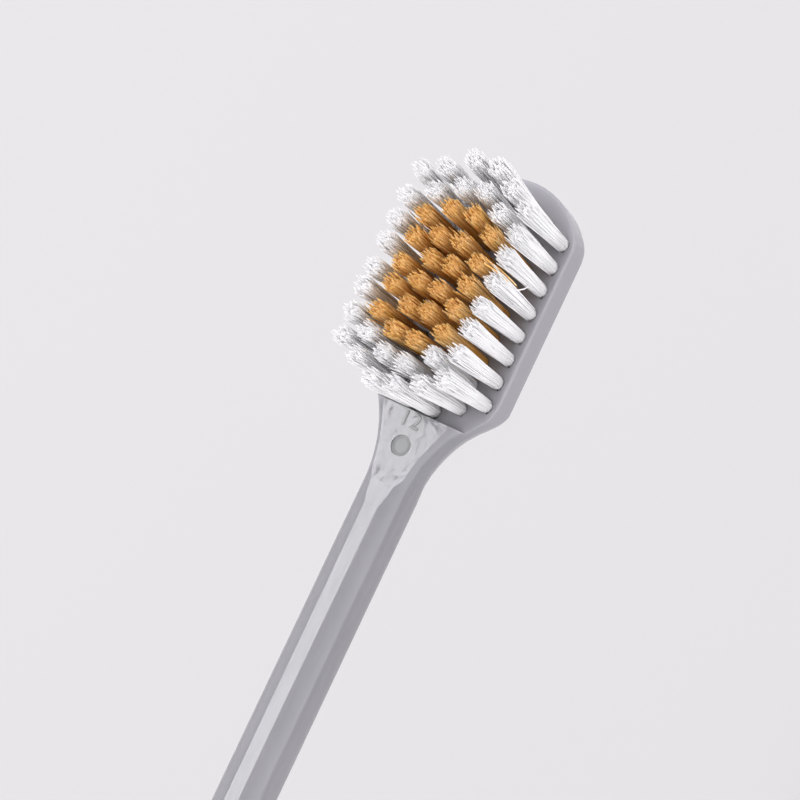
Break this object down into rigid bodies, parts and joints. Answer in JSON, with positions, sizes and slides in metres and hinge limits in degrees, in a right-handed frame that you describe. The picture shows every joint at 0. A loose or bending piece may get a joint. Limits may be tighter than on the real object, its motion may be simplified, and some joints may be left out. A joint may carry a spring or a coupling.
{
  "type": "manual toothbrush",
  "caption": "Manual toothbrush with a slim shaft, plain grip and wide rounded head, its bristle tufts folded round small anchors in blind holes.",
  "frame": {"origin": "bottom centre of the space that the brush fills, lying on its flat back", "axes": "+X along the brush towards the tip of the head, +Z the way the bristles point, +Y to the left of the head seen from the grip"},
  "size_m": [0.18, 0.0154, 0.0159],
  "materials": {
    "handle_plastic": "satin gloss, slightly translucent moulding",
    "white_filament": "fine white filaments with tapered ends",
    "gold_filament": "fine golden tan filaments with tapered ends",
    "anchor_metal": "plain rolled strip"
  },
  "bodies": {
    "root": {"anchors_row_01": "anchor_metal", "anchors_row_02": "anchor_metal", "anchors_row_03": "anchor_metal", "anchors_row_04": "anchor_metal", "anchors_row_05": "anchor_metal", "anchors_row_06": "anchor_metal", "anchors_row_07": "anchor_metal", "anchors_row_08": "anchor_metal", "anchors_row_09": "anchor_metal", "anchors_row_10": "anchor_metal", "anchors_row_11": "anchor_metal", "anchors_row_12": "anchor_metal", "anchors_row_13": "anchor_metal", "anchors_row_14": "anchor_metal", "anchors_row_15": "anchor_metal", "anchors_row_16": "anchor_metal", "anchors_row_17": "anchor_metal", "anchors_row_18": "anchor_metal", "anchors_row_19": "anchor_metal", "gold_tufts_row_05": "gold_filament", "gold_tufts_row_06": "gold_filament", "gold_tufts_row_07": "gold_filament", "gold_tufts_row_08": "gold_filament", "gold_tufts_row_09": "gold_filament", "gold_tufts_row_10": "gold_filament", "gold_tufts_row_11": "gold_filament", "gold_tufts_row_12": "gold_filament", "gold_tufts_row_13": "gold_filament", "gold_tufts_row_14": "gold_filament", "gold_tufts_row_15": "gold_filament", "handle": "handle_plastic", "white_tufts_row_01": "white_filament", "white_tufts_row_02": "white_filament", "white_tufts_row_03": "white_filament", "white_tufts_row_04": "white_filament", "white_tufts_row_05": "white_filament", "white_tufts_row_07": "white_filament", "white_tufts_row_09": "white_filament", "white_tufts_row_11": "white_filament", "white_tufts_row_13": "white_filament", "white_tufts_row_15": "white_filament", "white_tufts_row_16": "white_filament", "white_tufts_row_17": "white_filament", "white_tufts_row_18": "white_filament", "white_tufts_row_19": "white_filament"}
  },
  "joints": []
}
